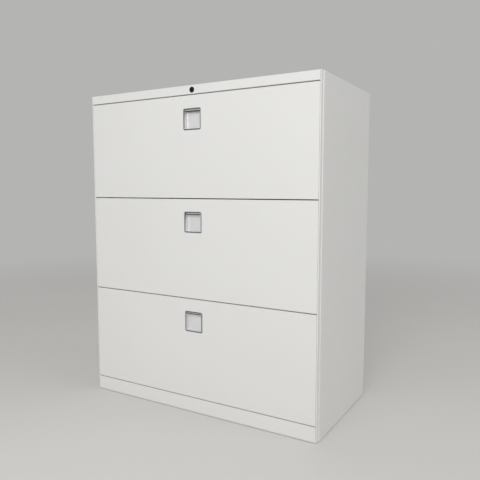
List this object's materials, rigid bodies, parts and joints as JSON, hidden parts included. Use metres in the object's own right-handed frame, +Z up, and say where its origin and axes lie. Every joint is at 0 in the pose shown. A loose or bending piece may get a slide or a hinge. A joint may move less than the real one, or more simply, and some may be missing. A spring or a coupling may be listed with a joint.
{
  "type": "lateral filing cabinet",
  "caption": "Wide white steel lateral filing cabinet with three drawers, square recessed pulls, a key lock in the top rail, a low plinth and levelling feet.",
  "frame": {"origin": "centre of the footprint, on the floor", "axes": "+Z up, -Y towards the user at the drawer fronts, +X to the right as the user faces the fronts"},
  "size_m": [0.9, 0.4524, 1.1],
  "materials": {
    "white_steel": "fine satin powder coat",
    "zinc_steel": "zinc plated",
    "chrome_trim": "plated, satin",
    "silver_plastic": "silver, satin",
    "dark_metal": "black, satin",
    "black_plastic": "moulded",
    "rubber": "matte"
  },
  "bodies": {
    "cabinet": {"back_panel": "white_steel", "back_screws": "zinc_steel", "bottom_panel": "white_steel", "drawer_1_outer_slides": "zinc_steel", "drawer_2_outer_slides": "zinc_steel", "drawer_3_outer_slides": "zinc_steel", "drawer_buffers": "rubber", "front_left_upright": "zinc_steel", "front_levelling_feet": "black_plastic", "front_right_upright": "zinc_steel", "left_base_runner": "zinc_steel", "left_side_panel": "white_steel", "lock_barrel": "dark_metal", "lock_nut": "zinc_steel", "plinth_front": "white_steel", "rear_left_upright": "zinc_steel", "rear_levelling_feet": "black_plastic", "rear_right_upright": "zinc_steel", "right_base_runner": "zinc_steel", "right_side_panel": "white_steel", "top_panel": "white_steel", "top_rail": "white_steel"},
    "drawer_1": {"drawer_1_file_bars": "zinc_steel", "drawer_1_front": "white_steel", "drawer_1_inner_slides": "zinc_steel", "drawer_1_liner": "white_steel", "drawer_1_pull_bezel": "chrome_trim", "drawer_1_pull_cup": "silver_plastic", "drawer_1_shaft_bushes": "black_plastic", "drawer_1_tray": "white_steel"},
    "middle_slides_1": {"drawer_1_middle_slides": "zinc_steel"},
    "latch_1": {"drawer_1_pull_grip": "silver_plastic", "drawer_1_latch_shaft": "zinc_steel"},
    "drawer_2": {"drawer_2_file_bars": "zinc_steel", "drawer_2_front": "white_steel", "drawer_2_inner_slides": "zinc_steel", "drawer_2_liner": "white_steel", "drawer_2_pull_bezel": "chrome_trim", "drawer_2_pull_cup": "silver_plastic", "drawer_2_shaft_bushes": "black_plastic", "drawer_2_tray": "white_steel"},
    "middle_slides_2": {"drawer_2_middle_slides": "zinc_steel"},
    "latch_2": {"drawer_2_pull_grip": "silver_plastic", "drawer_2_latch_shaft": "zinc_steel"},
    "drawer_3": {"drawer_3_file_bars": "zinc_steel", "drawer_3_front": "white_steel", "drawer_3_inner_slides": "zinc_steel", "drawer_3_liner": "white_steel", "drawer_3_pull_bezel": "chrome_trim", "drawer_3_pull_cup": "silver_plastic", "drawer_3_shaft_bushes": "black_plastic", "drawer_3_tray": "white_steel"},
    "middle_slides_3": {"drawer_3_middle_slides": "zinc_steel"},
    "latch_3": {"drawer_3_pull_grip": "silver_plastic", "drawer_3_latch_shaft": "zinc_steel"},
    "lock_plug": {"lock_plug": "dark_metal", "lock_cam": "zinc_steel"},
    "lock_link": {"lock_link": "zinc_steel"},
    "lock_bar": {"lock_bar": "zinc_steel"}
  },
  "joints": [
    {"name": "drawer_1_slide", "type": "slide", "parent": "cabinet", "child": "drawer_1", "axis": [0, -1, 0], "range_m": [0, 0.38]},
    {"name": "middle_slides_1_slide", "type": "slide", "parent": "cabinet", "child": "middle_slides_1", "axis": [0, -1, 0], "range_m": [0, 0.19]},
    {"name": "latch_1_turn", "type": "hinge", "parent": "drawer_1", "child": "latch_1", "pos_m": [0, -0.2135, 1.0315], "axis": [-1, 0, 0], "range_deg": [0, 10], "stiffness_Nm_per_rad": 0.3, "springref_deg": -20.05},
    {"name": "drawer_2_slide", "type": "slide", "parent": "cabinet", "child": "drawer_2", "axis": [0, -1, 0], "range_m": [0, 0.38]},
    {"name": "middle_slides_2_slide", "type": "slide", "parent": "cabinet", "child": "middle_slides_2", "axis": [0, -1, 0], "range_m": [0, 0.19]},
    {"name": "latch_2_turn", "type": "hinge", "parent": "drawer_2", "child": "latch_2", "pos_m": [0, -0.2135, 0.6945], "axis": [-1, 0, 0], "range_deg": [0, 10], "stiffness_Nm_per_rad": 0.3, "springref_deg": -20.05},
    {"name": "drawer_3_slide", "type": "slide", "parent": "cabinet", "child": "drawer_3", "axis": [0, -1, 0], "range_m": [0, 0.38]},
    {"name": "middle_slides_3_slide", "type": "slide", "parent": "cabinet", "child": "middle_slides_3", "axis": [0, -1, 0], "range_m": [0, 0.19]},
    {"name": "latch_3_turn", "type": "hinge", "parent": "drawer_3", "child": "latch_3", "pos_m": [0, -0.2135, 0.3575], "axis": [-1, 0, 0], "range_deg": [0, 10], "stiffness_Nm_per_rad": 0.3, "springref_deg": -20.05},
    {"name": "lock_bar_lift", "type": "slide", "parent": "cabinet", "child": "lock_bar", "axis": [0, 0, 1], "range_m": [0, 0.01414]},
    {"name": "lock_plug_turn", "type": "hinge", "parent": "cabinet", "child": "lock_plug", "pos_m": [0, -0.225, 1.085], "axis": [0, 1, 0], "range_deg": [0, 90]},
    {"name": "lock_link_slide", "type": "slide", "parent": "cabinet", "child": "lock_link", "axis": [-1, 0, 0], "range_m": [0, 0.0142]}
  ],
  "couplings": [
    {"joint": "middle_slides_1_slide", "follows": "drawer_1_slide", "ratio": 0.5},
    {"joint": "middle_slides_2_slide", "follows": "drawer_2_slide", "ratio": 0.5},
    {"joint": "middle_slides_3_slide", "follows": "drawer_3_slide", "ratio": 0.5},
    {"joint": "lock_plug_turn", "follows": "lock_bar_lift", "rad_per_m": 111.06},
    {"joint": "lock_link_slide", "follows": "lock_bar_lift", "ratio": 1}
  ]
}
